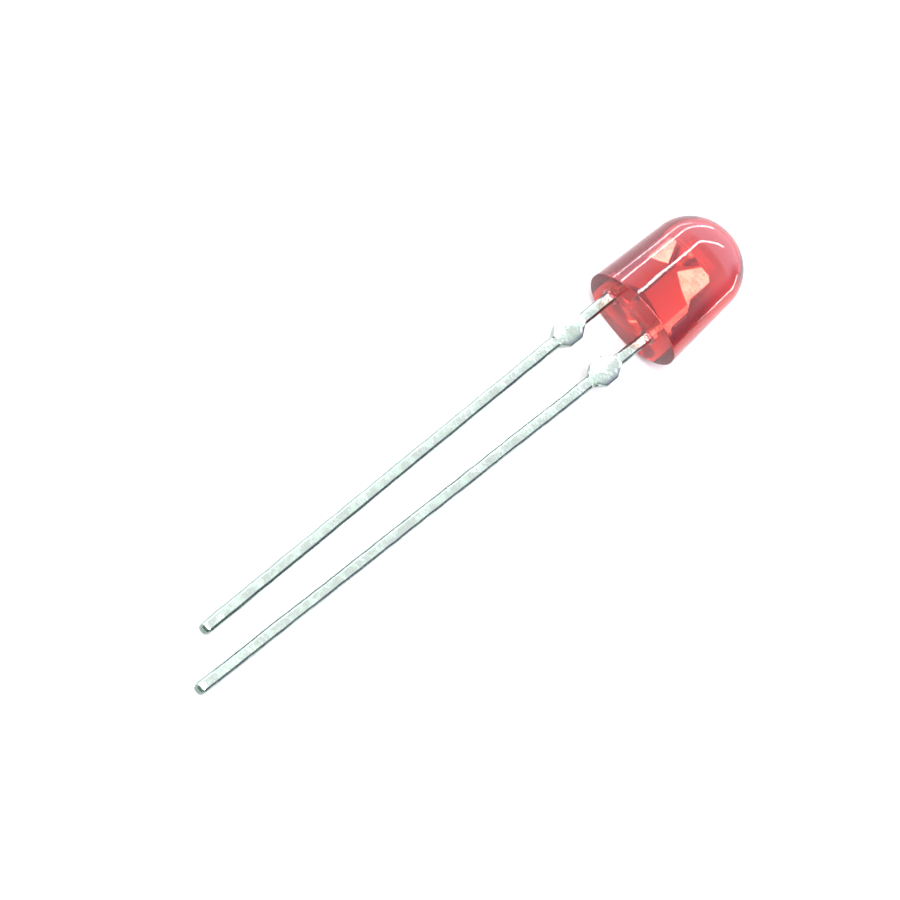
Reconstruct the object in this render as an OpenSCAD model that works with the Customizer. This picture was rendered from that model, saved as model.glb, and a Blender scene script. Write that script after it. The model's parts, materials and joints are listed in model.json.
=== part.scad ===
// Through-hole indicator lamp with an oval, flangeless tinted epoxy body and two stamped leads.
// Lamp axes before it is laid down: X across the leads, Y along the lamp with the dome at +Y,
// Z out of the broad front. The origin is the centre of the flat base face. Millimetres.

/* [Epoxy body] */
// Width of the body across the leads, at its base
body_w = 5.4; // [5.1:0.1:6.6]
// Thickness of the body from front to back, at its base
body_t = 3.9; // [3.2:0.1:4.8]
// Height from the base face to the top of the dome
body_h = 6.9; // [6.1:0.1:8.4]
// Draft angle of the side wall towards the dome
draft = 3; // [0.5:0.5:5]
// Height that the epoxy creeps down each lead below the base face
creep_h = 0.24; // [0.1:0.02:0.6]

/* [Leads] */
// Distance between the two leads where they leave the body
pitch = 2.54; // [2:0.02:3]
// Thickness of the lead frame strip, and the side of each square lead
sheet = 0.55; // [0.45:0.05:0.6]
// Size of a lead across its tinned, rounded corners
lead_round = 0.64; // [0.58:0.02:0.76]
// Length of the shorter lead, the cathode, below the base face
cathode_len = 26.5; // [18:0.1:32]
// Length of the longer lead, the anode, below the base face
anode_len = 28.6; // [19:0.1:34]
// Sideways lean of both leads off the lamp's own axis, in degrees
lean = 2.2; // [0:0.1:4]
// Angle by which each lead closes in on the other, in degrees
toe_in = 0.65; // [0:0.05:1.5]
// Sideways shift of the whole lead frame in the mould
frame_shift = 0.2; // [0:0.05:0.3]

/* [Stand-offs] */
// Distance from the base face to the middle of each stand-off
stand_y = 2.95; // [1.75:0.05:5]
// Width across a stand-off
stand_w = 1.25; // [1.05:0.05:1.6]
// Length of a stand-off along the lead
stand_len = 1.75; // [1.25:0.05:2.5]
// Length of a stand-off's straight sides
stand_flat = 0.7; // [0.2:0.05:1]
// Depth of the bevels along a stand-off's edges
stand_bevel = 0.2; // [0.05:0.01:0.24]

/* [Frame inside the body] */
// Height of the tops of the post and the anvil above the base face
head_y = 4.15; // [3.6:0.05:4.8]
// Height above the base face where each lead widens into its plate
plate_y = 0.75; // [0.4:0.05:1.2]
// Width of the cathode post's plate
post_w = 0.75; // [0.6:0.05:0.85]
// How far the post's plate stands in from its lead's outer side
post_step = 0.32; // [0:0.02:0.4]
// Width of the post's top
post_top_w = 0.3; // [0.25:0.05:0.5]
// Length of the post's taper, below its top
taper_len = 1.25; // [1:0.05:1.6]
// Half height of the slanted foot where a lead widens into its plate
foot_rise = 0.15; // [0.05:0.01:0.25]
// Gap between the post and the anvil's plate
plate_gap = 0.24; // [0.16:0.02:0.4]
// How far the anvil's plate stands back from its lead's outer side
anvil_step = 0.14; // [0:0.02:0.2]
// Width of the anvil's head, from the cup's axis to its outer side
head_side = 1.28; // [1:0.02:1.4]
// Length of the anvil's head, from its shoulder to its top
head_len = 1.58; // [1:0.02:2]
// Height of the slanted shoulder under the anvil's head
shoulder_len = 0.55; // [0.2:0.05:0.8]
// Size of the corner that is cut off the anvil's head
head_corner = 0.2; // [0.05:0.05:0.3]
// Clear gap between the cup's rim and the post's top
cup_gap = 0.14; // [0.08:0.02:0.3]

/* [Reflector cup and die] */
// Outer diameter of the cup at its rim
cup_d = 1.2; // [0.96:0.02:1.3]
// Wall thickness of the cup at its rim
cup_wall = 0.09; // [0.05:0.01:0.14]
// Depth of the cup
cup_depth = 0.38; // [0.2:0.02:0.45]
// Slope of the cup's wall from its axis, in degrees, less where the die's seat needs the room
cup_slope = 28; // [10:1:40]
// Height of the swelling around the cup
boss_h = 1; // [0.6:0.05:1.2]
// Diameter of that swelling at its foot
boss_foot_d = 0.4; // [0.2:0.02:0.5]
// Side of the square light-emitting die
die_w = 0.28; // [0.2:0.01:0.34]
// Height of the die
die_h = 0.22; // [0.12:0.01:0.28]
// Thickness of the silver paste under the die
paste_t = 0.03; // [0.02:0.005:0.05]
// How far the paste spreads past the die's sides
paste_spread = 0.06; // [0.03:0.01:0.08]
// Diameter of the gold bond wire
wire_d = 0.03; // [0.025:0.005:0.05]
// Diameter of the ball that bonds the wire
ball_d = 0.085; // [0.06:0.005:0.12]
// Radius of the wire's bends
bend_r = 0.12; // [0.06:0.01:0.15]
// Height of the bond wire's loop above the heads
loop_h = 0.3; // [0.2:0.02:0.5]

/* [Hidden] */
$fn = 96;
overlap = 0.05; // how far shapes of one piece run into each other
floor_gap = 0.03; // least clear ring of the cup's floor around the paste

// Body: the dome is the ball that the drafted wall meets without a kink
dome_r = (body_w / 2 - body_h * tan(draft)) * cos(draft) / (1 - sin(draft));
dome_y = body_h - dome_r;
seam_y = dome_y + dome_r * sin(draft);
seam_r = dome_r * cos(draft);
flatness = body_t / body_w;

// Places across the lamp
cathode_x = -pitch / 2 - frame_shift;
anode_x = pitch / 2 - frame_shift;
post_out_x = cathode_x - sheet / 2 + post_step;
post_in_x = post_out_x + post_w;
post_top_x = post_out_x + post_top_w;
cup_axis_x = post_top_x + cup_gap + cup_d / 2;
anvil_in_x = post_in_x + plate_gap;
anvil_out_x = anode_x + sheet / 2 - anvil_step;
head_out_x = cup_axis_x + head_side;

// Heights along the lamp
shoulder_y = head_y - head_len;
taper_y = head_y - taper_len;
cup_floor_y = head_y - cup_depth;
die_foot_y = cup_floor_y + paste_t;
die_top_y = die_foot_y + die_h;
boss_foot_y = head_y - boss_h;

// Radii of the paste and of the cup, whose floor always holds the paste
paste_r = die_w / 2 + paste_spread;
cup_rim_r = cup_d / 2 - cup_wall;
cup_floor_r = max(cup_rim_r - cup_depth * tan(cup_slope), paste_r + floor_gap);

// Bond wire: a ball on the die, a rise, a loop and a stitch on the post's top
stitch_x = post_out_x + post_top_w / 2;
wire_top_y = head_y + loop_h;

// Lead tips, and the plane that the lamp lies on: z = -c + across * x + along * y
function lead_angle(side) = lean + side * toe_in;
function tip_x(root_x, side, len) = root_x - len * sin(lead_angle(side));
function tip_y(side, len) = -len * cos(lead_angle(side));
cathode_tip = [tip_x(cathode_x, -1, cathode_len), tip_y(-1, cathode_len)];
anode_tip = [tip_x(anode_x, 1, anode_len), tip_y(1, anode_len)];
tip_ratio = -(cathode_tip.y - anode_tip.y) / (cathode_tip.x - anode_tip.x);
tip_arm = tip_ratio * cathode_tip.x + cathode_tip.y;
q_a = pow(body_w / 2 * tip_ratio, 2) - pow(tip_arm, 2);
q_b = -sheet * tip_arm;
q_c = pow(body_t / 2, 2) - pow(sheet / 2, 2);
along = (-q_b + sqrt(q_b * q_b - 4 * q_a * q_c)) / (2 * q_a);
across = tip_ratio * along;
rest_roll = atan(across);
rest_pitch = atan(-along / sqrt(1 + across * across));

// Lays a shape down so that the base's rim and both lead tips touch the surface
module lying() rotate([rest_pitch, 0, 0]) rotate([0, rest_roll, 0]) children();

// Turns a shape that is revolved about Z so that it is revolved about the lamp's Y
module along_lamp() rotate([-90, 0, 0]) children();

// A plate of the strip with the given outline in X and Y
module stamped(outline) translate([0, 0, -sheet / 2]) linear_extrude(sheet) polygon(outline);

// A block wider than the body, with its lower face at height y
module slab(y, h) translate([-body_w, -body_t, y]) cube([2 * body_w, 2 * body_t, h]);

// The drafted oval wall, cut flat at the base, and the dome on it
module outer_form() {
    along_lamp() {
        intersection() {
            translate([0, 0, -overlap]) scale([1, flatness, 1])
                cylinder(h = seam_y + overlap, r1 = body_w / 2 + overlap * tan(draft), r2 = seam_r);
            slab(0, seam_y);
        }
        intersection() {
            translate([0, 0, dome_y]) scale([1, flatness, 1]) sphere(dome_r);
            slab(seam_y, body_h);
        }
    }
}

// Hollow-sided collar of epoxy that has crept down a lead at x
module creep(x) {
    foot_r = lead_round / 2 - overlap;
    translate([x, 0, 0]) rotate([90, 0, 0]) rotate_extrude()
        translate([foot_r, 0]) difference() {
            square(creep_h);
            translate([creep_h, creep_h]) circle(creep_h);
        }
}

// One lead below the body: the tinned bar and its stand-off, with the root inside the body
module bar(root_x, side, len) {
    translate([root_x, 0, 0]) rotate([0, 0, -lead_angle(side)]) {
        intersection() {
            translate([-sheet / 2, -len, -sheet / 2]) cube([sheet, len + plate_y, sheet]);
            translate([0, -len, 0]) along_lamp() cylinder(h = len + plate_y, d = lead_round);
        }
        stand_off();
    }
}

// The ear left where the strip's tie bar was cut: six-sided, with bevelled edges
module stand_off() {
    intersection() {
        stamped([
            [-sheet / 2 + overlap, -stand_y - stand_len / 2], [-stand_w / 2, -stand_y - stand_flat / 2],
            [-stand_w / 2, -stand_y + stand_flat / 2], [-sheet / 2 + overlap, -stand_y + stand_len / 2],
            [sheet / 2 - overlap, -stand_y + stand_len / 2], [stand_w / 2, -stand_y + stand_flat / 2],
            [stand_w / 2, -stand_y - stand_flat / 2], [sheet / 2 - overlap, -stand_y - stand_len / 2]
        ]);
        translate([0, -stand_y - stand_len / 2, 0]) along_lamp() linear_extrude(stand_len) polygon([
            [-stand_w / 2, -sheet / 2 + stand_bevel], [-stand_w / 2 + 2 * stand_bevel, -sheet / 2],
            [stand_w / 2 - 2 * stand_bevel, -sheet / 2], [stand_w / 2, -sheet / 2 + stand_bevel],
            [stand_w / 2, sheet / 2 - stand_bevel], [stand_w / 2 - 2 * stand_bevel, sheet / 2],
            [-stand_w / 2 + 2 * stand_bevel, sheet / 2], [-stand_w / 2, sheet / 2 - stand_bevel]
        ]);
    }
}

module cathode_shape() {
    bar(cathode_x, -1, cathode_len);
    stamped([
        [cathode_x - sheet / 2, overlap], [cathode_x + sheet / 2, overlap],
        [cathode_x + sheet / 2, plate_y - foot_rise], [post_in_x, plate_y + foot_rise],
        [post_in_x, taper_y], [post_top_x, head_y], [post_out_x, head_y],
        [post_out_x, plate_y + foot_rise], [cathode_x - sheet / 2, plate_y - foot_rise]
    ]);
}

module anode_shape() {
    difference() {
        union() {
            bar(anode_x, 1, anode_len);
            stamped([
                [anode_x - sheet / 2, overlap], [anode_x + sheet / 2, overlap],
                [anode_x + sheet / 2, plate_y - foot_rise], [anvil_out_x, plate_y + foot_rise],
                [anvil_out_x, shoulder_y - shoulder_len], [head_out_x, shoulder_y],
                [head_out_x, head_y - head_corner], [head_out_x - head_corner, head_y],
                [anvil_in_x, head_y], [anvil_in_x, plate_y + foot_rise],
                [anode_x - sheet / 2, plate_y - foot_rise]
            ]);
            cup_boss();
        }
        cup_hollow();
    }
}

// The cone that the punch swells out of the strip around the cup
module cup_boss() {
    translate([cup_axis_x, boss_foot_y, 0]) along_lamp()
        cylinder(h = boss_h, r1 = boss_foot_d / 2, r2 = cup_d / 2);
}

module cup_hollow() {
    translate([cup_axis_x, cup_floor_y, 0]) along_lamp()
        cylinder(h = cup_depth, r1 = cup_floor_r, r2 = cup_rim_r);
}

module die_shape() {
    translate([cup_axis_x - die_w / 2, die_foot_y, -die_w / 2]) cube([die_w, die_h, die_w]);
}

module paste_shape() {
    translate([cup_axis_x, cup_floor_y, 0]) along_lamp() cylinder(h = paste_t, r = paste_r);
}

// Quarter turn of wire of radius bend_r, from a run along -X into a run down along -Y
module wire_bend() {
    translate([0, -bend_r, 0]) rotate_extrude(angle = 90) translate([bend_r, 0]) circle(d = wire_d);
}

module wire_shape() {
    rise = wire_top_y - die_top_y - bend_r;
    span = cup_axis_x - stitch_x - 2 * bend_r;
    drop = wire_top_y - head_y - bend_r;
    translate([cup_axis_x, die_top_y, 0]) along_lamp() cylinder(h = wire_d, d = ball_d);
    translate([cup_axis_x, die_top_y + wire_d / 2, 0]) along_lamp()
        cylinder(h = rise - wire_d / 2, d = wire_d);
    translate([cup_axis_x - bend_r, wire_top_y, 0]) wire_bend();
    translate([stitch_x + bend_r, wire_top_y, 0]) rotate([0, 90, 0]) cylinder(h = span, d = wire_d);
    translate([stitch_x + bend_r, wire_top_y, 0]) mirror([1, 0, 0]) wire_bend();
    translate([stitch_x, head_y, 0]) along_lamp() cylinder(h = drop, d = wire_d);
    translate([stitch_x, head_y, 0]) along_lamp() cylinder(h = wire_d / 2, d = ball_d);
}

module lens_body() {
    color([0.86, 0.16, 0.14, 0.55]) lying() difference() {
        union() {
            outer_form();
            creep(cathode_x);
            creep(anode_x);
        }
        cathode_shape();
        anode_shape();
        die_shape();
        paste_shape();
        wire_shape();
    }
}

module cathode_lead() color([0.78, 0.82, 0.78]) lying() cathode_shape();

module anode_lead() color([0.78, 0.82, 0.78]) lying() anode_shape();

module die() color([0.35, 0.12, 0.1]) lying() die_shape();

module die_attach() color([0.72, 0.72, 0.7]) lying() paste_shape();

module bond_wire() color([0.95, 0.75, 0.3]) lying() wire_shape();

lens_body();
cathode_lead();
anode_lead();
die();
die_attach();
bond_wire();
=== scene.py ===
"""Looks of an oval, flangeless red indicator lamp with two tin-dipped leads, lying at rest.

The epoxy body is built in the lamp's own axes, in millimetres, and laid down by `LampAxes`. The
leads start from their CAD solids and get softer edges and a skin of tin. The die, its paste and
the bond wire keep their CAD shapes.

In the lamp's axes x runs across the leads towards the anode, y along the lamp towards the dome,
and z out of the broad front. The origin is the middle of the flat base face.
"""

from __future__ import annotations

import json
import logging
import math
import sys
from dataclasses import dataclass
from enum import Enum
from typing import Iterable, Sequence

import bmesh
import bpy
from mathutils import Matrix, Vector
from mathutils.geometry import delaunay_2d_cdt


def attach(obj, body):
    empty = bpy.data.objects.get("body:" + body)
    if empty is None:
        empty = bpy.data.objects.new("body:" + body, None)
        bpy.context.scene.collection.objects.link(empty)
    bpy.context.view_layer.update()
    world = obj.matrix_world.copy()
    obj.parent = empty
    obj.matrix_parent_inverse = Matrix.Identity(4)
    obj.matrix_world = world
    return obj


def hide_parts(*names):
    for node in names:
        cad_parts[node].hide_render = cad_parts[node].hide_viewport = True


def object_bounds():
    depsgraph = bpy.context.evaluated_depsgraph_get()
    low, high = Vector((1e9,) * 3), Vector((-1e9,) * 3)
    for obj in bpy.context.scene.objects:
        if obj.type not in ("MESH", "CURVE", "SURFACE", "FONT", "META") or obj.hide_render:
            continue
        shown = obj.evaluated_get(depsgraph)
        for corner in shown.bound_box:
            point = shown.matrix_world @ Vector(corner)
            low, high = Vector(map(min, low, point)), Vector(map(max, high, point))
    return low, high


MM = 0.001
TURNED = "turned"  # the attribute that says how far a lead's surface faces sideways
SAME_PLACE = 1e-7  # vertices closer than this are one
ON_PLANE = 1e-8  # a vertex this close to a cutting plane lies in it
WATTS_PER_RADIANCE = 4.0  # an area light of this many watts per square metre has a radiance of 1
LOG = logging.getLogger("lamp")

Colour = tuple[float, float, float]
Span = tuple[float, float]

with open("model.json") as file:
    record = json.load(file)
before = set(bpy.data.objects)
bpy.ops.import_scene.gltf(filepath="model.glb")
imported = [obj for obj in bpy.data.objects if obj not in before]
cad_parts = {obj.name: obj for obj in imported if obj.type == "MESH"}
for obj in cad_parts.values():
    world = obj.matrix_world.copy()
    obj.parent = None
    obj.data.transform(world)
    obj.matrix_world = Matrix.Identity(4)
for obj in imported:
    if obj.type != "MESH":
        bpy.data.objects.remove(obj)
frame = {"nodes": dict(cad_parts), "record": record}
cad_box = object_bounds()


class Slot(Enum):
    """Names of two of the record's material slots."""

    EPOXY = "tinted_epoxy"
    STEEL = "tinned_steel"


# ---------------------------------------------------------------------------------------------
# Axes and mesh helpers
# ---------------------------------------------------------------------------------------------


@dataclass(frozen=True)
class LampAxes:
    """The lamp's own axes in the row frame, read from the record's mounts."""

    across: Vector
    along: Vector
    out: Vector

    @classmethod
    def from_record(cls, record: dict) -> LampAxes:
        """Finds the axes from the base face and the two lead tips.

        Args:
            record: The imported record.

        Returns:
            The three unit axes.
        """
        mounts = {mount["name"]: mount for mount in record["mounts"]}
        along = -Vector(mounts["base_face"]["axis"]).normalized()
        tips = Vector(mounts["anode_tip"]["pos_m"]) - Vector(mounts["cathode_tip"]["pos_m"])
        across = (tips - along * tips.dot(along)).normalized()
        return cls(across, along, across.cross(along))

    @property
    def lay_down(self) -> Matrix:
        """The matrix that turns lamp millimetres into row metres."""
        turn = Matrix((self.across, self.along, self.out)).transposed()
        return turn.to_4x4() @ Matrix.Scale(MM, 4)


class Builder:
    """Collects a mesh in lamp millimetres and makes it an object in the row frame."""

    def __init__(self, axes: LampAxes) -> None:
        """Starts an empty mesh in the given axes."""
        self.axes = axes
        self.mesh = bmesh.new()

    def ring(self, points: Iterable[tuple[float, float, float]]) -> list[bmesh.types.BMVert]:
        """Adds one vertex for each point and returns them."""
        return [self.mesh.verts.new(point) for point in points]

    def bridge(self, low: Sequence[bmesh.types.BMVert], high: Sequence[bmesh.types.BMVert]) -> None:
        """Joins two closed rings of the same length with a band of quads."""
        count = len(low)
        for i in range(count):
            after = (i + 1) % count
            self.mesh.faces.new((low[i], low[after], high[after], high[i]))

    def fan(self, ring: Sequence[bmesh.types.BMVert], tip: tuple[float, float, float]) -> None:
        """Closes a ring with triangles to one point."""
        peak = self.mesh.verts.new(tip)
        for i, vertex in enumerate(ring):
            self.mesh.faces.new((vertex, ring[(i + 1) % len(ring)], peak))

    def finish(self, name: str) -> bpy.types.Object:
        """Turns the faces outwards, lays the mesh down and links it as an object.

        Args:
            name: The new object's name.

        Returns:
            The object, at the origin, with its place in its mesh.
        """
        bmesh.ops.recalc_face_normals(self.mesh, faces=self.mesh.faces)
        bmesh.ops.transform(self.mesh, matrix=self.axes.lay_down, verts=self.mesh.verts)
        data = bpy.data.meshes.new(name)
        self.mesh.to_mesh(data)
        self.mesh.free()
        return link(name, data)


def link(name: str, data: bpy.types.ID | None) -> bpy.types.Object:
    """Makes an object of some data and adds it to the scene."""
    made = bpy.data.objects.new(name, data)
    bpy.context.scene.collection.objects.link(made)
    return made


def oval(half_w: float, half_t: float, y: float, count: int) -> list[tuple[float, float, float]]:
    """Points of an ellipse across the lamp at height y."""
    turns = [math.tau * i / count for i in range(count)]
    return [(half_w * math.cos(turn), y, half_t * math.sin(turn)) for turn in turns]


def applied(piece: bpy.types.Object) -> bpy.types.Object:
    """Bakes a piece's modifiers into a plain mesh and removes them."""
    graph = bpy.context.evaluated_depsgraph_get()
    data = bpy.data.meshes.new_from_object(piece.evaluated_get(graph), depsgraph=graph)
    piece.modifiers.clear()
    piece.data = data
    return piece


# ---------------------------------------------------------------------------------------------
# Shader helpers
# ---------------------------------------------------------------------------------------------


class Wire:
    """A node socket whose arithmetic adds Math nodes."""

    def __init__(self, graph: Graph, socket: bpy.types.NodeSocket) -> None:
        """Wraps one output socket of a graph."""
        self.graph = graph
        self.socket = socket

    def math(self, operation: str, *others: Wire | float, first: Wire | float | None = None) -> Wire:
        """Adds a Math node.

        Args:
            operation: The node's operation.
            others: The values after the first one.
            first: The first value, this wire if it isn't given.

        Returns:
            The node's result.
        """
        values = (self if first is None else first, *others)
        node = self.graph.node("ShaderNodeMath", {"operation": operation}, dict(enumerate(values)))
        return Wire(self.graph, node.outputs[0])

    def __add__(self, other: Wire | float) -> Wire:
        """self + other."""
        return self.math("ADD", other)

    __radd__ = __add__

    def __mul__(self, other: Wire | float) -> Wire:
        """self * other."""
        return self.math("MULTIPLY", other)

    def __sub__(self, other: Wire | float) -> Wire:
        """self - other."""
        return self.math("SUBTRACT", other)

    def __rsub__(self, other: float) -> Wire:
        """other - self."""
        return self.math("SUBTRACT", self, first=other)

    def __abs__(self) -> Wire:
        """The size of the value without its sign."""
        return self.math("ABSOLUTE")

    def rise(self, span: Span, ends: Span = (0.0, 1.0)) -> Wire:
        """A smooth step between two values as this one crosses a span.

        Args:
            span: Where the step starts and ends.
            ends: The values before and after it.

        Returns:
            The stepped value.
        """
        node = self.graph.node(
            "ShaderNodeMapRange",
            {"interpolation_type": "SMOOTHSTEP"},
            {
                "Value": self,
                "From Min": span[0],
                "From Max": span[1],
                "To Min": ends[0],
                "To Max": ends[1],
            },
        )
        return Wire(self.graph, node.outputs["Result"])

    def fall(self, span: Span, top: float = 1.0) -> Wire:
        """A smooth step from `top` down to nothing as this value crosses a span."""
        return self.rise(span, (top, 0.0))


class Graph:
    """A node tree that is built from code, and the place that its patterns follow."""

    def __init__(self, tree: bpy.types.NodeTree) -> None:
        """Starts with the given tree and no place."""
        self.tree = tree
        self.place: bpy.types.NodeSocket | None = None

    def node(self, kind: str, settings: dict, inputs: dict) -> bpy.types.Node:
        """Adds a node.

        Args:
            kind: The node's type.
            settings: Properties that are set before its sockets.
            inputs: Values or wires by socket name or number.

        Returns:
            The new node.
        """
        made = self.tree.nodes.new(kind)
        for name, value in settings.items():
            setattr(made, name, value)
        for key, value in inputs.items():
            if isinstance(value, Wire):
                value = value.socket
            if isinstance(value, bpy.types.NodeSocket):
                self.tree.links.new(value, made.inputs[key])
            else:
                made.inputs[key].default_value = value
        return made

    def along(self, axis: Vector, unit: float = MM) -> Wire:
        """How far the place is along an axis, in the given unit."""
        return self.dot(self.place, axis / unit)

    def dot(self, socket: bpy.types.NodeSocket, axis: Vector) -> Wire:
        """The dot product of a socket's vector and an axis."""
        made = self.node("ShaderNodeVectorMath", {"operation": "DOT_PRODUCT"}, {0: socket, 1: tuple(axis)})
        return Wire(self, made.outputs["Value"])

    def blend(self, mask: Wire, low: Colour | Wire, high: Colour | Wire) -> Wire:
        """A colour that goes from low to high with the mask."""
        made = self.node("ShaderNodeMix", {"data_type": "RGBA"}, {})
        for name, value in (("A_Color", low), ("B_Color", high)):
            socket = next(s for s in made.inputs if s.identifier == name)
            if isinstance(value, Wire):
                self.tree.links.new(value.socket, socket)
            else:
                socket.default_value = (*value, 1.0)
        self.tree.links.new(mask.socket, made.inputs[0])
        return Wire(self, next(s for s in made.outputs if s.identifier == "Result_Color"))


class Surface(Graph):
    """One procedural material and the tree that it is built in."""

    def __init__(self, name: str) -> None:
        """Starts an empty material whose patterns follow the object's own coordinates."""
        self.material = bpy.data.materials.new(name)
        self.material.use_nodes = True
        super().__init__(self.material.node_tree)
        self.tree.nodes.clear()
        self.place = self.node("ShaderNodeTexCoord", {}, {}).outputs["Object"]

    def noise(self, grain: float, detail: float = 3.0) -> Wire:
        """Noise whose features are about `grain` millimetres across."""
        made = self.node(
            "ShaderNodeTexNoise",
            {},
            {"Vector": self.place, "Scale": 1 / (grain * MM), "Detail": detail},
        )
        return Wire(self, made.outputs["Fac"])

    def cells(self, grain: float) -> Wire:
        """Distance to the nearest of many scattered points about `grain` millimetres apart."""
        made = self.node("ShaderNodeTexVoronoi", {}, {"Vector": self.place, "Scale": 1 / (grain * MM)})
        return Wire(self, made.outputs["Distance"])

    def bump(self, height: Wire, depth: float) -> Wire:
        """A bump normal for a height that is given in units of `depth` millimetres."""
        made = self.node("ShaderNodeBump", {}, {"Height": height, "Distance": depth * MM, "Strength": 1.0})
        return Wire(self, made.outputs["Normal"])

    def attribute(self, name: str) -> Wire:
        """A number that the mesh carries at each vertex."""
        return Wire(self, self.node("ShaderNodeAttribute", {"attribute_name": name}, {}).outputs["Fac"])

    def principled(self, **inputs: object) -> Wire:
        """Adds a Principled shader.

        Args:
            inputs: Values or wires by socket name, with _ for a space.

        Returns:
            The shader.
        """
        named = {key.replace("_", " "): value for key, value in inputs.items()}
        for key, value in named.items():
            if isinstance(value, tuple) and len(value) == 3:
                named[key] = (*value, 1.0)
        return Wire(self, self.node("ShaderNodeBsdfPrincipled", {}, named).outputs[0])

    def layer(self, mask: Wire, low: Wire, high: Wire) -> Wire:
        """A shader that goes from low to high with the mask."""
        return Wire(self, self.node("ShaderNodeMixShader", {}, {0: mask, 1: low, 2: high}).outputs[0])

    def done(self, shader: Wire, volume: bpy.types.NodeSocket | None = None) -> bpy.types.Material:
        """Ends the tree in a shader.

        Args:
            shader: The surface's shader.
            volume: What the inside of a clear material does to light.

        Returns:
            The finished material.
        """
        output = self.node("ShaderNodeOutputMaterial", {}, {"Surface": shader})
        if volume is not None:
            self.tree.links.new(volume, output.inputs["Volume"])
        return self.material


# ---------------------------------------------------------------------------------------------
# Finishes
# ---------------------------------------------------------------------------------------------


@dataclass(frozen=True)
class TintedEpoxy:
    """Clear red epoxy with the polish and the faint flow ripples of its mould."""

    refraction: float = 1.53
    taken: Colour = (140.0, 400.0, 500.0)  # red, green and blue that a metre of depth takes away
    headroom: float = 1.02  # keeps the most taken colour just above black
    clearness: float = 0.955
    skin: Colour = (0.90, 0.29, 0.34)
    thin_skin: Colour = (0.96, 0.33, 0.38)
    flow_size: float = 1.6
    flow_detail: float = 1.0
    flow_height: float = 0.35
    scuff_size: float = 0.12
    scuff_height: float = 0.05
    relief: float = 0.03
    scuffed: Span = (0.45, 0.75)
    polish: Span = (0.015, 0.045)  # roughness where it is clean and where it is scuffed

    def material(self) -> bpy.types.Material:
        """Makes the material.

        Returns:
            Clear epoxy that takes its colour from depth.
        """
        surface = Surface("tinted_epoxy_clear")
        density = self.headroom * max(self.taken)
        kept = [1 - taken / density for taken in self.taken]
        depth = surface.node("ShaderNodeVolumeAbsorption", {}, {"Color": (*kept, 1.0), "Density": density})
        flow = surface.noise(self.flow_size, self.flow_detail)
        scuffs = surface.noise(self.scuff_size)
        ripples = flow * self.flow_height + scuffs * self.scuff_height
        clear = surface.principled(
            Base_Color=surface.blend(scuffs, self.skin, self.thin_skin),
            Roughness=scuffs.rise(self.scuffed, self.polish),
            Normal=surface.bump(ripples, self.relief),
            IOR=self.refraction,
            Transmission_Weight=self.clearness,
        )
        return surface.done(clear, depth.outputs[0])


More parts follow.
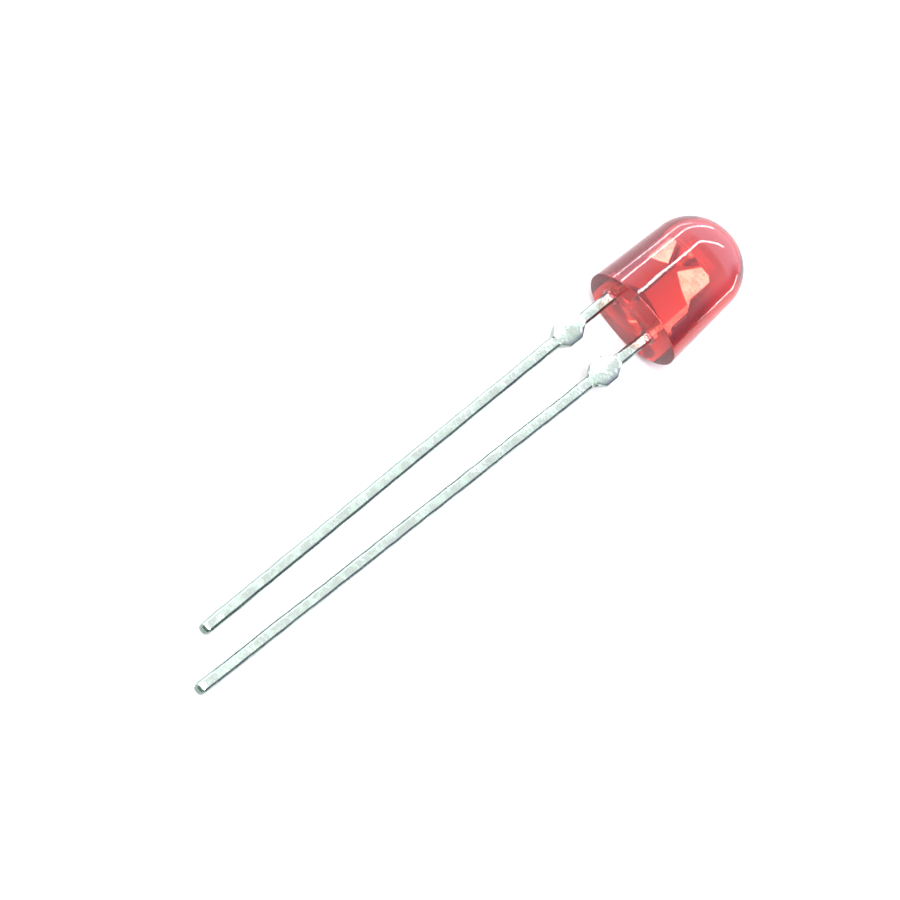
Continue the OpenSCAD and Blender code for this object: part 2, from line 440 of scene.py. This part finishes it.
@dataclass(frozen=True)
class TinDippedSteel:
    """Steel strip: solder dip on the leads, copper flash inside the body, silver on the two heads. The tin
    carries painted shade on its side corners and at its tip, the silver's bright cream patch is also a
    painted pool of light, and a painted highlight runs down the anode plate's outer edge.

    Places and sizes are in lamp millimetres. A pair of roughnesses is for dull and for bright metal.
    """

    # Colours.
    tin: Colour = (0.85, 0.95, 0.87)
    dull_tin: Colour = (0.63, 0.78, 0.67)
    # Painted shade for the side corners and the tip.
    painted_shade_tin: Colour = (0.16, 0.24, 0.19)
    flash: Colour = (0.80, 0.27, 0.22)
    # Silver whose bright cream is also a painted pool of light on the heads.
    painted_lit_silver: Colour = (0.98, 0.97, 0.80)
    dull_painted_lit_silver: Colour = (0.96, 0.91, 0.72)

    # Mottling, made of blotches and a finer grain, and the pits of the bath.
    blotch_size: float = 0.5
    blotch_share: float = 0.6
    grain_size: float = 0.1
    pit_gap: float = 0.22
    pit_share: float = 0.5
    bright: Span = (0.40, 0.58)
    tin_relief: float = 0.012
    tin_rough: Span = (0.27, 0.18)
    flash_rough: float = 0.3
    silver_rough: Span = (0.3, 0.24)

    # Painted shade: darker tin on corners that face the anode, on those that face away, and at the tip.
    anode_shade_corner: Span = (0.25, 0.75)
    anode_corner_shade: float = 0.85
    cathode_shade_corner: Span = (-0.85, -0.25)
    cathode_corner_shade: float = 0.9
    tip_shade: Span = (0.03, 0.2)

    # Where the tin gives way to the flash, just inside the body.
    tin_end: Span = (0.05, 0.25)

    # The lower edge of the silver and of its painted pool of light, a hump over the gap between post and
    # anvil.
    peak_x: float = -0.45
    peak_y: float = 3.2
    edge_slope: float = 0.95
    edge_curve: float = 0.2
    edge_wander: float = 0.1
    edge_blur: Span = (-0.04, 0.04)

    # The cup's cone, which the painted pool of light leaves out, so it stays dark; it widens upwards from
    # its foot.
    cup_x: float = -0.385
    cup_foot: float = 3.1
    cup_foot_half: float = 0.2
    cup_spread: float = 0.42
    cup_blur: Span = (-0.03, 0.03)

    # A painted highlight: a thin strip of silver colour down the anode plate's outer edge.
    painted_glint_x: float = 0.98
    painted_glint_blur: Span = (-0.05, 0.05)
    painted_glint_share: float = 0.5

    # How far the silver's normals lean down the lamp, and the height of its blotches.
    head_lean: float = 0.22
    silver_relief: float = 0.015

    def strip(self, surface: Surface, y: Wire, tip_y: float, mottle: Wire, grain: Wire) -> Wire:
        """The strip's metal: tin outside the body, with painted shade on its side corners and at its tip,
        and copper flash inside.

        Args:
            surface: The material that it is part of.
            y: The place along the lamp.
            tip_y: Where the lead ends along the lamp.
            mottle: How bright the metal is at each place.
            grain: The fine grain.

        Returns:
            The shader.
        """
        turned = surface.attribute(TURNED)
        # Painted shade: the tin darkens on corners that face either side, and at the tip.
        painted_shade = turned.rise(self.anode_shade_corner) * self.anode_corner_shade
        painted_shade = painted_shade + turned.fall(self.cathode_shade_corner, self.cathode_corner_shade)
        near, far = self.tip_shade
        painted_shade = painted_shade.math("MAXIMUM", y.fall((tip_y + near, tip_y + far)))
        tin = surface.blend(painted_shade, surface.blend(mottle, self.dull_tin, self.tin), self.painted_shade_tin)
        inside = y.rise(self.tin_end)
        dipped = 1 - inside
        pits = surface.cells(self.pit_gap)
        lumps = grain * (1 - self.pit_share) + pits * self.pit_share
        return surface.principled(
            Base_Color=surface.blend(inside, tin, self.flash),
            Metallic=1.0,
            Roughness=dipped * mottle.rise((0.0, 1.0), self.tin_rough) + inside * self.flash_rough,
            Normal=surface.bump(dipped * lumps, self.tin_relief),
        )

    def painted_lit_plating(self, surface: Surface, y: Wire, mottle: Wire, blotch: Wire) -> Wire:
        """The silver plating, whose bright cream is also a painted pool of light and whose normals lean
        down the lamp.
        """
        return surface.principled(
            Base_Color=surface.blend(mottle, self.dull_painted_lit_silver, self.painted_lit_silver),
            Metallic=1.0,
            Roughness=mottle.rise((0.0, 1.0), self.silver_rough),
            Normal=surface.bump(y * self.head_lean + blotch * self.silver_relief, 1.0),
        )

    def painted_lit_share(self, x: Wire, y: Wire, blotch: Wire) -> Wire:
        """How much silver there is at each place: plating on the heads whose patch is also a painted pool
        of light, less the cup's cone, and a painted highlight down the anode plate's outer edge.
        """
        # The heads' silver patch, also a painted pool of light, less the cup's cone.
        off = abs(x - self.peak_x)
        edge = self.peak_y - off * self.edge_slope + off * off * self.edge_curve
        above = y - edge + (blotch - 0.5) * self.edge_wander
        cone = (y - self.cup_foot) * self.cup_spread - abs(x - self.cup_x) + self.cup_foot_half
        painted_lit_heads = above.rise(self.edge_blur) * cone.fall(self.cup_blur)
        # Painted highlight down the anode plate's outer edge.
        painted_glint = (x - self.painted_glint_x).rise(self.painted_glint_blur, (0.0, self.painted_glint_share))
        return painted_lit_heads.math("MAXIMUM", painted_glint * y.rise(self.tin_end))

    def material(self, axes: LampAxes, node: str, tip_y: float) -> bpy.types.Material:
        """Makes the material.

        Args:
            axes: The lamp's axes.
            node: The lead that it is for.
            tip_y: Where the lead ends along the lamp.

        Returns:
            The strip's metal, inside and outside the body.
        """
        surface = Surface(f"tin_dipped_{node}")
        x = surface.along(axes.across)
        y = surface.along(axes.along)
        blotch = surface.noise(self.blotch_size)
        grain = surface.noise(self.grain_size)
        mottle = (blotch * self.blotch_share + grain * (1 - self.blotch_share)).rise(self.bright)
        strip = self.strip(surface, y, tip_y, mottle, grain)
        painted_lit_plating = self.painted_lit_plating(surface, y, mottle, blotch)
        return surface.done(surface.layer(self.painted_lit_share(x, y, blotch), strip, painted_lit_plating))


@dataclass(frozen=True)
class PlainMetal:
    """A small metal part with fine grain."""

    name: str
    dark: Colour
    light: Colour
    grain: float
    roughness: float
    relief: float
    wear: float = 0.15
    shaded: Span = (0.35, 0.65)
    worn: Span = (0.3, 0.7)

    def material(self) -> bpy.types.Material:
        """Makes the material."""
        surface = Surface(self.name)
        grain = surface.noise(self.grain)
        metal = surface.principled(
            Base_Color=surface.blend(grain.rise(self.shaded), self.dark, self.light),
            Metallic=1.0,
            Roughness=grain.rise(self.worn, (self.roughness, self.roughness + self.wear)),
            Normal=surface.bump(grain, self.relief),
        )
        return surface.done(metal)


@dataclass(frozen=True)
class SawnChip:
    """Dark red semiconductor with the marks of its saw."""

    dark: Colour = (0.10, 0.02, 0.015)
    light: Colour = (0.28, 0.06, 0.04)
    refraction: float = 2.6
    mark_size: float = 0.02
    mark_detail: float = 2.0
    marked: Span = (0.3, 0.7)
    polish: Span = (0.12, 0.4)
    relief: float = 0.004

    def material(self) -> bpy.types.Material:
        """Makes the material."""
        surface = Surface("sawn_chip")
        marks = surface.noise(self.mark_size, self.mark_detail)
        chip = surface.principled(
            Base_Color=surface.blend(marks, self.dark, self.light),
            Roughness=marks.rise(self.marked, self.polish),
            Normal=surface.bump(marks, self.relief),
            IOR=self.refraction,
        )
        return surface.done(chip)


@dataclass(frozen=True)
class StudioPaper:
    """Matt white paper."""

    low: Colour = (0.65, 0.65, 0.65)
    high: Colour = (0.68, 0.68, 0.68)
    fibre_size: float = 6.0
    fibre_detail: float = 4.0
    roughness: float = 0.9
    shine: float = 0.1

    def material(self) -> bpy.types.Material:
        """Makes the material."""
        surface = Surface("studio_paper")
        fibre = surface.noise(self.fibre_size, self.fibre_detail)
        paper = surface.principled(
            Base_Color=surface.blend(fibre, self.low, self.high),
            Roughness=self.roughness,
            Specular_IOR_Level=self.shine,
        )
        return surface.done(paper)


# ---------------------------------------------------------------------------------------------
# The lamp
# ---------------------------------------------------------------------------------------------


@dataclass
class EpoxyBody:
    """The cast body: drafted oval wall, ball dome, flat base and a collar round each lead."""

    axes: LampAxes
    width: float = 5.4
    thickness: float = 3.9
    height: float = 6.9
    draft: float = math.radians(3)
    rim_round: float = 0.05
    rim_turns: tuple[float, ...] = (0, 22, 45, 68)  # degrees round the rim's edge
    lead_xs: tuple[float, float] = (-1.47, 1.07)
    lead_r: float = 0.27
    creep: float = 0.24
    sides: int = 160
    wall_rings: int = 30
    dome_rings: int = 44
    collar_sides: int = 48
    collar_rings: int = 10

    @property
    def dome_r(self) -> float:
        """Radius of the ball that the drafted wall meets without a kink."""
        room = self.width / 2 - self.height * math.tan(self.draft)
        return room * math.cos(self.draft) / (1 - math.sin(self.draft))

    def profile(self) -> list[tuple[float, float]]:
        """Half widths and heights of the outside, from the base's rim to just under the top."""
        half, soft = self.width / 2, self.rim_round
        rim = [
            (half - soft + soft * math.sin(turn), soft - soft * math.cos(turn))
            for turn in map(math.radians, self.rim_turns)
        ]
        seam = self.height - self.dome_r + self.dome_r * math.sin(self.draft)
        wall = []
        for i in range(self.wall_rings + 1):
            y = soft + (seam - soft) * i / self.wall_rings
            wall.append((half - y * math.tan(self.draft), y))
        dome = []
        middle = self.height - self.dome_r
        for i in range(1, self.dome_rings):
            turn = self.draft + (math.pi / 2 - self.draft) * i / self.dome_rings
            dome.append((self.dome_r * math.cos(turn), middle + self.dome_r * math.sin(turn)))
        return rim + wall + dome

    def collar(self, builder: Builder, x: float) -> list[bmesh.types.BMVert]:
        """Adds the hollow-sided collar round the lead at x, closed inside the lead.

        Args:
            builder: The mesh that it joins.
            x: The lead's place across the lamp.

        Returns:
            The collar's outer ring, which lies in the base face.
        """
        rings = []
        for i in range(self.collar_rings + 1):
            turn = math.pi / 2 * i / self.collar_rings
            radius = self.lead_r + self.creep * (1 - math.sin(turn))
            y = self.creep * (math.cos(turn) - 1)
            circle = oval(radius, radius, y, self.collar_sides)
            rings.append(builder.ring((x + px, py, pz) for px, py, pz in circle))
        for low, high in zip(rings, rings[1:]):
            builder.bridge(low, high)
        builder.fan(rings[-1], (x, -self.creep, 0.0))
        return rings[0]

    def base(self, builder: Builder, rim: list[bmesh.types.BMVert]) -> None:
        """Fills the flat base face between the rim and the two collars."""
        loops = [rim, *(self.collar(builder, x) for x in self.lead_xs)]
        verts = [vertex for loop in loops for vertex in loop]
        edges = []
        start = 0
        for loop in loops:
            count = len(loop)
            edges += [(start + i, start + (i + 1) % count) for i in range(count)]
            start += count
        flat = [Vector((vertex.co.x, vertex.co.z)) for vertex in verts]
        places, _, triangles, sources, *_ = delaunay_2d_cdt(flat, edges, [], 0, SAME_PLACE)
        collar_r = self.lead_r + self.creep
        for triangle in triangles:
            centre = sum((places[i] for i in triangle), Vector((0, 0))) / 3
            if all(math.hypot(centre.x - x, centre.y) > collar_r for x in self.lead_xs):
                builder.mesh.faces.new([verts[sources[i][0]] for i in triangle])

    def build(self) -> bpy.types.Object:
        """Makes the body as one closed skin with no hollow inside.

        Returns:
            The new object.
        """
        builder = Builder(self.axes)
        flat = self.thickness / self.width
        rings = [builder.ring(oval(r, r * flat, y, self.sides)) for r, y in self.profile()]
        for low, high in zip(rings, rings[1:]):
            builder.bridge(low, high)
        builder.fan(rings[-1], (0.0, self.height, 0.0))
        self.base(builder, rings[0])
        body = builder.finish("epoxy_body")
        body.data.shade_smooth()
        return body

    def dress(self, body: bpy.types.Object, finish: TintedEpoxy) -> None:
        """Gives the body its finish and its place in the frame."""
        body.data.materials.append(finish.material())
        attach(body, "root")
        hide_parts("lens_body")


@dataclass
class TinCoat:
    """The uneven skin of the tin bath, which stands out from the bare strip.

    Each vertex is marked with how far its normal turns to the side, which the finish uses to paint shade
    on the side corners.
    """

    axes: LampAxes
    depth: float = 0.03
    grain: float = 0.75
    detail: float = 2.0
    lumpy: Span = (0.3, 0.7)
    start: float = 0.5
    ease: float = 1.0
    seed: float = 3.0

    def tree(self) -> bpy.types.NodeTree:
        """Builds the node tree that raises the skin.

        Returns:
            A tree with the coat's sizes as its inputs.
        """
        group = bpy.data.node_groups.new("tin_coat", "GeometryNodeTree")
        group.interface.new_socket("Geometry", in_out="INPUT", socket_type="NodeSocketGeometry")
        for name in ("Depth", "Scale", "Start", "Seed"):
            group.interface.new_socket(name, in_out="INPUT", socket_type="NodeSocketFloat")
        group.interface.new_socket("Material", in_out="INPUT", socket_type="NodeSocketMaterial")
        group.interface.new_socket("Geometry", in_out="OUTPUT", socket_type="NodeSocketGeometry")
        graph = Graph(group)
        given = graph.node("NodeGroupInput", {}, {}).outputs
        graph.place = graph.node("GeometryNodeInputPosition", {}, {}).outputs[0]
        lumps = graph.node(
            "ShaderNodeTexNoise",
            {"noise_dimensions": "4D"},
            {
                "Vector": graph.place,
                "W": given["Seed"],
                "Scale": given["Scale"],
                "Detail": self.detail,
            },
        )
        below = graph.along(self.axes.along, -1.0) - Wire(graph, given["Start"])
        height = Wire(graph, lumps.outputs[0]).rise(self.lumpy) * Wire(graph, given["Depth"])
        raised = height * below.rise((0.0, self.ease * MM))
        normal = graph.node("GeometryNodeInputNormal", {}, {}).outputs["Normal"]
        shift = graph.node("ShaderNodeVectorMath", {"operation": "SCALE"}, {0: normal, "Scale": raised})
        moved = graph.node(
            "GeometryNodeSetPosition", {}, {"Geometry": given["Geometry"], "Offset": shift.outputs[0]}
        )
        sideways = graph.dot(normal, self.axes.across)
        marked = graph.node(
            "GeometryNodeStoreNamedAttribute",
            {"data_type": "FLOAT", "domain": "POINT"},
            {"Geometry": moved.outputs[0], "Name": TURNED, "Value": sideways},
        )
        real = graph.node("GeometryNodeRealizeInstances", {}, {"Geometry": marked.outputs[0]})
        coated = graph.node(
            "GeometryNodeSetMaterial", {}, {"Geometry": real.outputs[0], "Material": given["Material"]}
        )
        graph.node("NodeGroupOutput", {}, {"Geometry": coated.outputs[0]})
        return group

    def put_on(self, piece: bpy.types.Object, material: bpy.types.Material) -> None:
        """Coats a piece and bakes the coat into its mesh.

        Args:
            piece: The bare piece.
            material: The coat's finish.
        """
        coat = piece.modifiers.new("tin_coat", "NODES")
        coat.node_group = self.tree()
        sizes = {
            "Depth": self.depth * MM,
            "Scale": 1 / (self.grain * MM),
            "Start": self.start * MM,
            "Seed": self.seed,
            "Material": material,
        }
        for item in coat.node_group.interface.items_tree:
            if item.in_out == "INPUT" and item.name in sizes:
                coat[item.identifier] = sizes[item.name]
        applied(piece)


@dataclass
class DippedLead:
    """One lead of the strip with softened edges and a tip rounded by solder."""

    axes: LampAxes
    node: str
    tip: Vector
    outward: Vector
    edge: float = 0.035
    edge_steps: int = 2
    sharp: float = math.radians(28)  # edges that turn more than this are softened
    flat: float = math.radians(1)  # faces that turn less than this are joined
    ring_gap: float = 0.25
    tip_round: float = 0.2
    tip_shrink: float = 0.42
    tip_cuts: tuple[float, ...] = (0.02, 0.05, 0.09, 0.14, 0.2)
    level_weight: int = 90  # how much more the large faces count in the shading

    @classmethod
    def from_record(cls, axes: LampAxes, record: dict, end: str) -> DippedLead:
        """Describes the lead whose tip mount starts with the given word."""
        mount = next(mount for mount in record["mounts"] if mount["name"] == f"{end}_tip")
        return cls(axes, f"{end}_lead", Vector(mount["pos_m"]), Vector(mount["axis"]).normalized())

    @property
    def tip_y(self) -> float:
        """Where the lead ends along the lamp, in millimetres."""
        return self.tip.dot(self.axes.along) / MM

    def cut(self, shape: bmesh.types.BMesh, place: Vector, facing: Vector) -> None:
        """Adds an edge loop where a plane crosses the lead."""
        bmesh.ops.bisect_plane(
            shape,
            geom=[*shape.verts, *shape.edges, *shape.faces],
            plane_co=place,
            plane_no=facing,
            dist=ON_PLANE,
        )

    def soften_tip(self, shape: bmesh.types.BMesh) -> None:
        """Draws the lead's end in to a rounded button."""
        for depth in self.tip_cuts:
            self.cut(shape, self.tip - self.outward * depth * MM, self.outward)
        for vertex in shape.verts:
            depth = (self.tip - vertex.co).dot(self.outward) / MM
            if depth < self.tip_round:
                middle = self.tip - self.outward * depth * MM
                shrink = 1 - self.tip_shrink * (1 - max(depth, 0.0) / self.tip_round) ** 2
                vertex.co = middle + (vertex.co - middle) * shrink

    def sectioned(self) -> bpy.types.Mesh:
        """Copies the CAD solid's mesh, cuts rings into the long part and rounds the tip.

        Returns:
            The new mesh, without materials.
        """
        data = frame["nodes"][self.node].data.copy()
        shape = bmesh.new()
        shape.from_mesh(data)
        bmesh.ops.remove_doubles(shape, verts=shape.verts, dist=SAME_PLACE)
        bmesh.ops.dissolve_limit(shape, angle_limit=self.flat, verts=shape.verts, edges=shape.edges)
        y = self.tip_y + 2 * self.ring_gap
        while y < -self.ring_gap:
            self.cut(shape, self.axes.lay_down @ Vector((0, y, 0)), self.axes.along)
            y += self.ring_gap
        self.soften_tip(shape)
        shape.to_mesh(data)
        shape.free()
        data.materials.clear()
        return data

    def soften_edges(self, piece: bpy.types.Object) -> None:
        """Rounds the lead's sharp edges."""
        soften = piece.modifiers.new("soften", "BEVEL")
        soften.width = self.edge * MM
        soften.segments = self.edge_steps
        soften.limit_method = "ANGLE"
        soften.angle_limit = self.sharp
        applied(piece)
        piece.data.shade_smooth()

    def level_shading(self, piece: bpy.types.Object) -> None:
        """Keeps the lead's large faces flat in the light."""
        level = piece.modifiers.new("level", "WEIGHTED_NORMAL")
        level.mode = "FACE_AREA"
        level.weight = self.level_weight
        applied(piece)

    def build(self, coat: TinCoat, material: bpy.types.Material) -> bpy.types.Object:
        """Makes the lead from its CAD solid's shape and coats it.

        Args:
            coat: The tin on it.
            material: Its finish.

        Returns:
            The new object.
        """
        piece = link(f"{self.node}_dipped", self.sectioned())
        piece.data.materials.append(material)
        self.soften_edges(piece)
        coat.put_on(piece, material)
        self.level_shading(piece)
        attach(piece, "root")
        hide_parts(self.node)
        return piece


def dress_light_source() -> None:
    """Gives the die, its paste and the bond wire their finishes; they keep their CAD shapes."""
    paste = PlainMetal(
        name="silver_paste_grain",
        dark=(0.5, 0.5, 0.48),
        light=(0.8, 0.8, 0.78),
        grain=0.02,
        roughness=0.5,
        relief=0.004,
    )
    gold = PlainMetal(
        name="drawn_gold",
        dark=(0.85, 0.58, 0.18),
        light=(1.0, 0.78, 0.34),
        grain=0.03,
        roughness=0.2,
        relief=0.001,
    )
    for node, finish in (("die", SawnChip()), ("die_attach", paste), ("bond_wire", gold)):
        cad = frame["nodes"][node]
        cad.data.materials.clear()
        cad.data.materials.append(finish.material())
        for polygon in cad.data.polygons:
            polygon.material_index = 0


# ---------------------------------------------------------------------------------------------
# The studio
# ---------------------------------------------------------------------------------------------


@dataclass(frozen=True)
class Viewpoint:
    """Where the camera stands: round the lamp, above the floor, and turned about its own axis.

    Lengths are in millimetres.
    """

    azimuth: float = math.radians(-3.277)
    elevation: float = math.radians(59.627)
    roll: float = math.radians(52.505)
    distance: float = 200.0
    lens: float = 172.2
    sensor: float = 36.0
    sees_from: float = 10.0
    sees_to: float = 5000.0
    right_of_base: float = -8.448
    above_base: float = -6.038

    def stand(self) -> None:
        """Makes the scene's camera."""
        back = Vector(
            (
                math.sin(self.azimuth) * math.cos(self.elevation),
                -math.cos(self.azimuth) * math.cos(self.elevation),
                math.sin(self.elevation),
            )
        )
        turn = (-back).to_track_quat("-Z", "Y").to_matrix() @ Matrix.Rotation(self.roll, 3, "Z")
        aside = turn.col[0] * self.right_of_base + turn.col[1] * self.above_base
        data = bpy.data.cameras.new("camera")
        data.lens = self.lens
        data.sensor_width = self.sensor
        data.clip_start = self.sees_from * MM
        data.clip_end = self.sees_to * MM
        camera = link("camera", data)
        place = (back * self.distance + aside) * MM
        camera.matrix_world = Matrix.Translation(place) @ turn.to_4x4()
        bpy.context.scene.camera = camera


@dataclass(frozen=True)
class Strip:
    """A lamp box that the part sees between two directions; lengths are in millimetres."""

    name: str
    start: tuple[float, float, float]
    end: tuple[float, float, float]
    width: float
    radiance: float
    reach: float = 260.0

    def hang(self) -> None:
        """Hangs the light with its face to the part."""
        low = Vector(self.start).normalized() * self.reach
        high = Vector(self.end).normalized() * self.reach
        middle = (low + high) / 2
        run = high - low
        data = bpy.data.lights.new(self.name, "AREA")
        data.shape = "RECTANGLE"
        data.size = run.length * MM
        data.size_y = self.width * MM
        data.energy = self.radiance * WATTS_PER_RADIANCE * data.size * data.size_y
        facing = middle.normalized()
        side = (run - facing * run.dot(facing)).normalized()
        turn = Matrix((side, facing.cross(side), facing)).transposed()
        light = link(self.name, data)
        light.matrix_world = Matrix.Translation(middle * MM) @ turn.to_4x4()


@dataclass
class Studio:
    """A sheet of white paper, a room with a dark side and a few strips of light.

    A wall starts over a span of one coordinate of the direction that it is seen in.
    """

    floor_side: float = 1600.0
    tint: Colour = (0.98, 1.0, 1.02)
    wall_tint: Colour = (0.95, 0.95, 1.15)
    dark_tint: Colour = (0.85, 0.65, 1.2)
    ceiling: float = 0.66
    far_wall: float = 2.9
    left_wall: float = 2.5
    dark_side: float = 0.22
    far_wall_y: Span = (0.5, 0.62)
    side_wall_x: Span = (0.5, 0.8)
    left_wall_x: Span = (-0.8, -0.5)
    dark_x: Span = (0.35, 0.65)
    dark_z: Span = (0.3, 0.6)
    bounces: int = 32
    glossy_bounces: int = 16
    clear_bounces: int = 24
    strips: tuple[Strip, ...] = (
        Strip("ceiling_strip", (-0.42, 0.50, 0.77), (0.08, 0.88, 0.48), 12.0, 20.0),
        Strip("side_strip_high", (-0.80, 0.50, 0.40), (-0.25, 0.96, 0.12), 12.0, 14.0),
        Strip("side_strip_low", (-0.86, 0.50, 0.10), (-0.60, 0.80, 0.10), 10.0, 12.0),
        Strip("far_strip", (0.60, 0.79, 0.09), (0.82, 0.57, 0.03), 16.0, 16.0),
        Strip("overhead_box", (-0.5, -0.26, 0.94), (0.5, -0.26, 0.94), 105.0, 9.5),
    )

    def floor(self, finish: StudioPaper) -> None:
        """Lays the paper under the lowest point of the part."""
        shape = bmesh.new()
        bmesh.ops.create_grid(shape, x_segments=1, y_segments=1, size=self.floor_side / 2 * MM)
        bmesh.ops.translate(shape, vec=(0, 0, cad_box[0].z), verts=shape.verts)
        data = bpy.data.meshes.new("floor")
        shape.to_mesh(data)
        shape.free()
        paper = link("floor", data)
        paper.data.materials.append(finish.material())

    def room(self) -> bpy.types.World:
        """Makes the glow of the ceiling and the walls.

        Returns:
            The new world.
        """
        world = bpy.data.worlds.new("room")
        world.use_nodes = True
        room = Graph(world.node_tree)
        room.tree.nodes.clear()
        room.place = room.node("ShaderNodeTexCoord", {}, {}).outputs["Generated"]
        x, y, z = (room.along(Vector(axis), 1.0) for axis in ((1, 0, 0), (0, 1, 0), (0, 0, 1)))
        far = y.rise(self.far_wall_y)
        walls = far.math("MAXIMUM", abs(x).rise(self.side_wall_x))
        level = self.ceiling + far * (self.far_wall - self.ceiling)
        level = level + x.fall(self.left_wall_x) * (self.left_wall - level)
        shade = x.rise(self.dark_x) * z.fall(self.dark_z)
        level = level + shade * (self.dark_side - level)
        colour = room.blend(shade, room.blend(walls, self.tint, self.wall_tint), self.dark_tint)
        sky = room.node("ShaderNodeBackground", {}, {"Color": colour, "Strength": level})
        room.node("ShaderNodeOutputWorld", {}, {"Surface": sky.outputs[0]})
        return world

    def light(self) -> None:
        """Lights the room and hangs the strips."""
        scene = bpy.context.scene
        scene.world = self.room()
        scene.view_settings.view_transform = "Standard"
        scene.cycles.max_bounces = self.bounces
        scene.cycles.glossy_bounces = self.glossy_bounces
        scene.cycles.transmission_bounces = self.clear_bounces
        for strip in self.strips:
            strip.hang()


def report(piece: bpy.types.Object) -> None:
    """Logs a piece's name and triangle count."""
    piece.data.calc_loop_triangles()
    LOG.info("%s: %d triangles", piece.name, len(piece.data.loop_triangles))


def main() -> None:
    """Builds and dresses the lamp, then its studio."""
    axes = LampAxes.from_record(frame["record"])
    Viewpoint().stand()

    epoxy = EpoxyBody(axes)
    body = epoxy.build()
    epoxy.dress(body, TintedEpoxy())
    report(body)

    for end in ("cathode", "anode"):
        lead = DippedLead.from_record(axes, frame["record"], end)
        metal = TinDippedSteel().material(axes, lead.node, lead.tip_y)
        report(lead.build(TinCoat(axes), metal))

    dress_light_source()

    studio = Studio()
    studio.floor(StudioPaper())
    studio.light()


if __name__ == "__main__":
    logging.basicConfig(level=logging.INFO, stream=sys.stdout)
    main()
